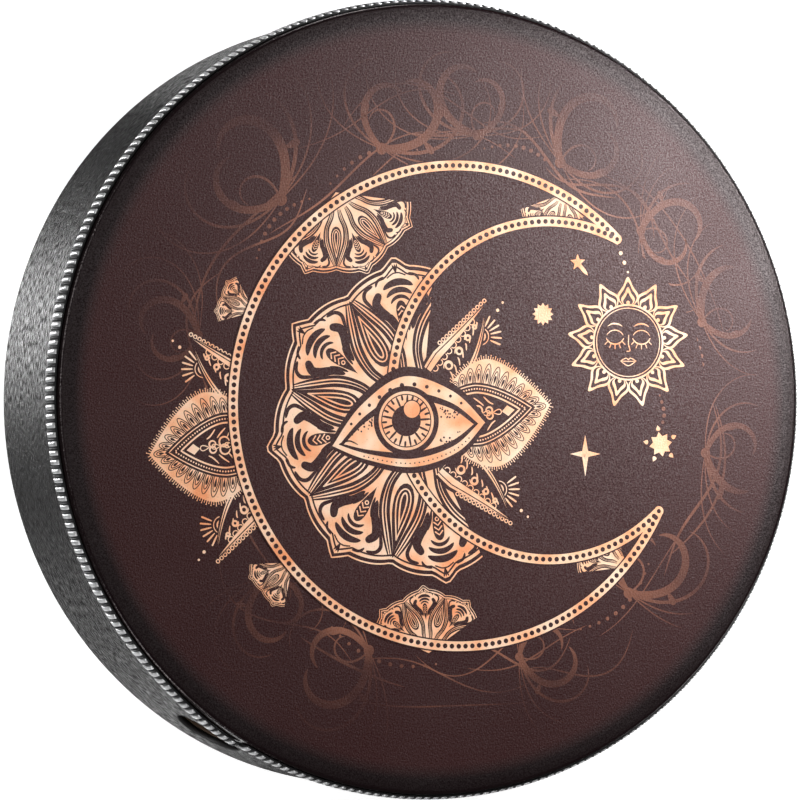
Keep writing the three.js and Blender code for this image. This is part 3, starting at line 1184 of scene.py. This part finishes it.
def face(picture, level):
    """Two closed eyes with lashes and brows, a nose and a mouth, all evenly spaced about the middle."""
    for side in (1, -1):
        centre = SUN + 4.6 * side + 1.2j
        picture.stroke("peach", level, arc_line(centre + 1.6j, 3.4, 205, 335, 16), 0.45, (0.5, 0.5))
        picture.stroke("peach", level, arc_line(centre - 0.6j, 3.3, 30, 150, 16), 0.35, (0.4, 0.4))
        picture.stroke("peach", level, arc_line(centre + 0.8j, 4.0, 50, 130, 14), 0.5, (0.2, 0.2))
        for step in range(5):
            way = unit(225 + 22.5 * step)
            lash = [centre + 1.6j + 3.5 * way, centre + 1.6j + 4.9 * way]
            picture.line("peach", level, np.linspace(*lash, 3), 0.3)
    nose = smooth([SUN + 0.2 + 2.4j, SUN + 0.1 - 0.6j, SUN + 0.6 - 2.6j, SUN - 0.6 - 2.9j])
    picture.stroke("peach", level, nose, 0.35, (0.4, 0.6))
    mouth = SUN - 6.0j
    upper = smooth([mouth - 2.7, mouth - 0.9 + 0.9j, mouth + 0.5j, mouth + 0.9 + 0.9j, mouth + 2.7])
    picture.stroke("peach", level, upper, 0.35, (0.6, 0.6))
    picture.stroke("peach", level, smooth([mouth - 2.7, mouth - 0.1j, mouth + 2.7]), 0.3, (0.6, 0.6))
    picture.stroke("peach", level, smooth([mouth - 2.7, mouth - 1.5j, mouth + 2.7]), 0.35, (0.6, 0.6))


def star(picture, centre, reach, waist, points, turn, level):
    """A star with the given number of points."""
    way = np.arange(2 * points)
    radii = np.where(way % 2 == 0, reach, waist)
    picture.fill("peach", level, centre + radii * np.exp(1j * (np.pi * way / points + math.radians(turn))))


def beads(picture, ink, line, count, level):
    """A string of beads, larger in its middle."""
    points, _ = even_points(line, count)
    for order, point in enumerate(points):
        size = 0.35 + 0.35 * math.sin(math.pi * order / max(1, count - 1))
        picture.dot(ink, level, point, size)


ROUND_STAR = 36 + 27.1j
FALLING_STAR = 48.1 + 43.7j
CROSS_STAR = 50.4 - 17.5j
STAR_BALL = 76.7 - 14.4j


def stars(picture, level):
    """The small stars in the crescent's hollow, and the star ball hung under the sun."""
    star(picture, ROUND_STAR, 3.6, 2.6, 12, 0, level)
    star(picture, FALLING_STAR, 2.7, 1.2, 5, 20, level)
    tail = np.linspace(FALLING_STAR + 0.3 - 0.5j, FALLING_STAR + 3.5 - 4.1j, 6)
    picture.stroke("peach", level, tail, 1.3, (1, 0))
    for way, reach in ((90, 6.0), (0, 5.2), (-90, 7.2), (180, 5.2)):
        tip, side = CROSS_STAR + reach * unit(way), 1.2 * unit(way + 90)
        picture.fill("peach", level, [CROSS_STAR - side, tip, CROSS_STAR + side])
    star(picture, STAR_BALL, 4.0, 2.7, 8, 10, level)
    for step in range(5):
        way = unit(100 + 72 * step)
        picture.fill("peach", level, drop(STAR_BALL + 6.2 * way, STAR_BALL + 4.4 * way, 1.4))
    upper, _ = crescent_tips()
    beads(picture, "peach", np.linspace(upper - 1.4j, SUN + 22.5j, 4), 4, level)
    beads(picture, "scroll", smooth([SUN + 11 - 17j, SUN + 12.5 - 23j, STAR_BALL + 5j]), 6, level)


SCROLL_LIMIT = 0.895 * SKIRT_OUTER / MM
SCROLL_REACH = 34


def faded_stroke(picture, line, width, ends, level):
    """A stroke of the faded ink, kept clear of the head's edge."""
    inside = np.abs(line) < SCROLL_LIMIT
    line = line[:np.argmin(inside)] if not inside.all() else line
    if len(line) > 3:
        picture.stroke("scroll", level, line, width, ends)


# Each arm: swing from the plume's heading, turn of its curl, length and weight in shares of the size
PLUME_ARMS = (
    (0, 205, 2.5, 0.17),
    (-12, 185, 3.0, 0.07),
    (-22, 165, 3.5, 0.032),
    (-31, 150, 4.1, 0.028),
    (40, 230, 1.3, 0.045),
    (134, -190, 1.9, 0.13),
    (148, -170, 2.5, 0.045),
    (160, -150, 3.1, 0.028),
)


def plume(picture, root, heading, size, flip, level):
    """A scroll: arms that fan out of a knob and curl over, and a small spray that curls the other way."""
    picture.fill("scroll", level, circle(root, 0.11 * size, 20))
    for swing, turn, reach, weight in PLUME_ARMS:
        line = curl(root, heading + swing * flip, reach * size, turn * flip, 1.6, 60)
        faded_stroke(picture, line, weight * size, (0.7, 0.05), level)
        if weight > 0.1:
            bud = line[len(line) // 3]
            tip = bud + 0.34 * size * unit(heading + (swing - 50) * flip)
            picture.fill("scroll", level, drop(bud, tip, 0.13 * size))


# Each plume: angle round the crescent, distance out, size, heading, and the way that it curls
PLUMES = (
    (133, 12, 19.0, 75, 1),
    (108, 9, 17.0, 0, 1),
    (86, 10, 15.0, 160, -1),
    (66, 9, 17.0, 100, -1),
    (42, 8, 14.0, 60, -1),
    (18, 12, 15.0, 95, -1),
    (-10, 10, 15.0, -70, 1),
    (-46, 7, 16.0, -10, 1),
    (-76, 6, 13.0, -60, 1),
    (-112, 7, 16.0, -95, -1),
    (-140, 8, 13.0, 220, 1),
    (166, 14, 13.0, 110, 1),
)


def scrolls(picture, level):
    """Faded scrolls all round the outside of the crescent, joined by strings of beads."""
    for angle, out, size, heading, flip in PLUMES:
        plume(picture, CRESCENT + (CRESCENT_RADIUS + out) * unit(angle), heading, size, flip, level)
    dice = random.Random(5)
    for step in range(26):
        start = -152 + 330 * step / 26
        out = CRESCENT_RADIUS + dice.uniform(4, 22)
        span, rise = dice.uniform(24, 44) * dice.choice((1, -1)), dice.uniform(-7, 9)
        share = np.linspace(0, 1, 40)
        radii = out + rise * np.sin(np.pi * share * dice.uniform(1.0, 2.2))
        wisp = CRESCENT + radii * np.exp(1j * np.radians(start + span * share))
        faded_stroke(picture, wisp, dice.uniform(0.4, 1.0), (0.1, 0.1), level)
    for start, end in ((146, 128), (122, 100), (84, 66), (-60, -38), (-122, -96), (20, 2)):
        sway = arc_line(CRESCENT, CRESCENT_RADIUS + 6, start, end, 20)
        sway = sway + 3.0 * np.sin(np.linspace(0, math.pi, 20)) * (sway - CRESCENT) / abs(sway - CRESCENT)
        beads(picture, "scroll", sway, 11, level + 2)


PEACH = (0.90, 0.50, 0.30)
PEACH_PALE = (0.92, 0.64, 0.46)
PEACH_ORANGE = (0.85, 0.33, 0.15)
SCROLL_NEAR = (0.34, 0.135, 0.080)


def peach_colour(tree):
    """Peach ink with paler and more orange patches, and the film's grain showing through a little."""
    patches = noise(tree, place_on_piece(tree), 95.0, 2.0)
    ink = ramp(tree, patches, [(0.36, PEACH_PALE), (0.52, PEACH), (0.68, PEACH_ORANGE)])
    thin = grey_ramp(tree, noise(tree, place_on_piece(tree), 1500.0, 3.0, 0.7), [(0.60, 0.0), (0.8, 0.5)])
    return mixed(tree, thin, ink, FILM_BROWN)


def scroll_colour(tree):
    """Red-brown ink that is clear beside the crescent and fades into the ground away from it."""
    middle = (CRESCENT.real * MM, CRESCENT.imag * MM, HEAD_TOP)
    away = distance_from(tree, place_on_piece(tree), middle)
    beyond = arithmetic(tree, "SUBTRACT", away, CRESCENT_RADIUS * MM)
    share = arithmetic(tree, "DIVIDE", beyond, SCROLL_REACH * MM)
    clear = grey_ramp(tree, share, [(0.05, 0.85), (0.4, 0.38), (0.95, 0.06)])
    patches = grey_ramp(tree, noise(tree, place_on_piece(tree), 38.0, 3.0), [(0.35, 0.15), (0.65, 1.0)])
    return mixed(tree, arithmetic(tree, "MULTIPLY", clear, patches), film_colour(tree), SCROLL_NEAR)


LEFT_GROUP = -62.3 - 13.7j
RIGHT_GROUP = 4.5 - 6.1j
WHEEL = -6.0 - 6.9j


def make_picture(ground):
    """The whole print, from the ink that lies lowest to the ink on top."""
    picture = Picture()
    scrolls(picture, 0)
    band_lace(picture, OUTSIDE_LACE, 3)
    pointed_group(picture, LEFT_GROUP, heading=187, level=7)
    picture.fill("ground", 15, circle(CRESCENT, CRESCENT_RADIUS, 160))
    band_lace(picture, INSIDE_LACE, 16)
    picture.fill("ground", 20, circle(HOLLOW, HOLLOW_RADIUS, 120))
    mandala(picture, WHEEL, size=51, first_lobe=100, lobes=5, level=21)
    pointed_group(picture, RIGHT_GROUP, heading=7, level=25)
    crescent(picture, 33)
    sun(picture, 33)
    stars(picture, 33)
    eye(picture, 36)
    looks = {
        "ground": ground,
        "peach": film_look("peach_ink", peach_colour),
        "scroll": film_look("faded_ink", scroll_colour),
    }
    picture.print_with(looks)


# ---------------------------------------------------------------- studio

def make_floor():
    """A pale floor that turns up into a pale backdrop far away. It isn't part of the drum."""
    look, tree, shader = new_look("studio_floor", 0.9)
    shader.inputs["Base Color"].default_value = (0.5, 0.5, 0.5, 1)
    shader.inputs["Emission Color"].default_value = (1, 1, 1, 1)
    shader.inputs["Emission Strength"].default_value = 0.9
    speckle = noise(tree, place_on_piece(tree), 30.0, 3.0)
    connect(tree, grey_ramp(tree, speckle, [(0.2, 0.85), (0.8, 0.95)]), shader, "Roughness")
    reach, cove, height = 6.0, 2.0, 7.0
    profile = [(0.05, 0), (1, 0), (reach - cove, 0)]
    profile += arc(reach - cove, cove, cove, -90, 0, 12) + [(reach, height)]
    steps = 96
    points = turned(profile, steps)
    faces = strip_faces(steps, len(profile), True, False)
    faces.append(tuple(step * len(profile) for step in range(steps)))
    floor = make_object("floor", points, faces)
    floor.data.materials.append(look)
    floor.visible_glossy = False
    floor.visible_diffuse = False
    floor.visible_shadow = False


def soft_box(name, target, direction, distance, size, power):
    """A square studio light that faces the target from the given direction."""
    data = bpy.data.lights.new(name, "AREA")
    data.size = size
    data.energy = power
    light = bpy.data.objects.new(name, data)
    bpy.context.scene.collection.objects.link(light)
    direction = Vector(direction).normalized()
    light.location = Vector(target) + direction * distance
    light.rotation_mode = "QUATERNION"
    light.rotation_quaternion = direction.to_track_quat("Z", "Y")


def mirrored(normal):
    """The direction that a surface with this normal reflects into the camera."""
    normal = Vector(normal).normalized()
    return 2 * normal.dot(TO_CAMERA) * normal - TO_CAMERA


def round_drum(angle, radius, height):
    """A place or direction at an angle round the drum, in degrees."""
    angle = math.radians(angle)
    return Vector((radius * math.cos(angle), radius * math.sin(angle), height))


# Angle round the drum in degrees, power in watts and size in metres
RIM_LIGHTS = ((104, 1.6, 0.2), (-42, 0.5, 0.25), (222, 1.8, 0.3))
WALL_LIGHTS = ((168, 3.2, 0.22), (212, 0.36, 0.25), (236, 0.42, 0.25), (115, 0.3, 0.2))
WORLD_LIGHT = 0.06


def make_lights():
    """A soft key past the head's upper right edge, side lights for the rim, and low lights for the wood."""
    world = bpy.data.worlds.new("studio")
    bpy.context.scene.world = world
    world.use_nodes = True
    background = world.node_tree.nodes["Background"]
    background.inputs["Color"].default_value = (1, 1, 1, 1)
    background.inputs["Strength"].default_value = WORLD_LIGHT
    beside_camera = TO_CAMERA + 0.55 * round_drum(150, 1, 0)
    soft_box("fill", (0, 0, HEAD_TOP), beside_camera, distance=1.2, size=0.5, power=4.8)
    past_edge = round_drum(35, 1.5 * SKIRT_OUTER, HEAD_TOP)
    soft_box("key", past_edge, mirrored((0, 0, 1)), distance=0.24, size=0.16, power=2.05)
    for angle, power, size in RIM_LIGHTS:
        edge = round_drum(angle, SKIRT_OUTER, HEAD_TOP)
        normal = round_drum(angle, 1, 0.9)
        soft_box(f"rim_{angle}", edge, mirrored(normal), 0.6, size, power)
    for angle, power, size in WALL_LIGHTS:
        wall = round_drum(angle, HOOP_RADIUS, HEAD_TOP / 3)
        soft_box(f"wall_{angle}", wall, mirrored(round_drum(angle, 1, 0)), 0.9, size, power)


def make_view():
    """Plain colours, with no film look laid over them."""
    bpy.context.scene.view_settings.view_transform = "Standard"


wood = stained_wood()
make_hoop(wood, core_wood())
film = film_look("head_film", film_colour)
make_head(film)
make_picture(film)
cotton = black_cotton()
make_filler(cotton)
make_ribs("braid_ribs", silver_yarn(), "trim_silver", 0.3, SILVER_WIDTH, SILVER_HEIGHT, "trim_wrap")
make_ribs("braid_thin_ribs", grey_yarn(), "trim_black", 0.8, THREAD_WIDTH, THREAD_HEIGHT)
make_floor()
make_lights()
make_view()
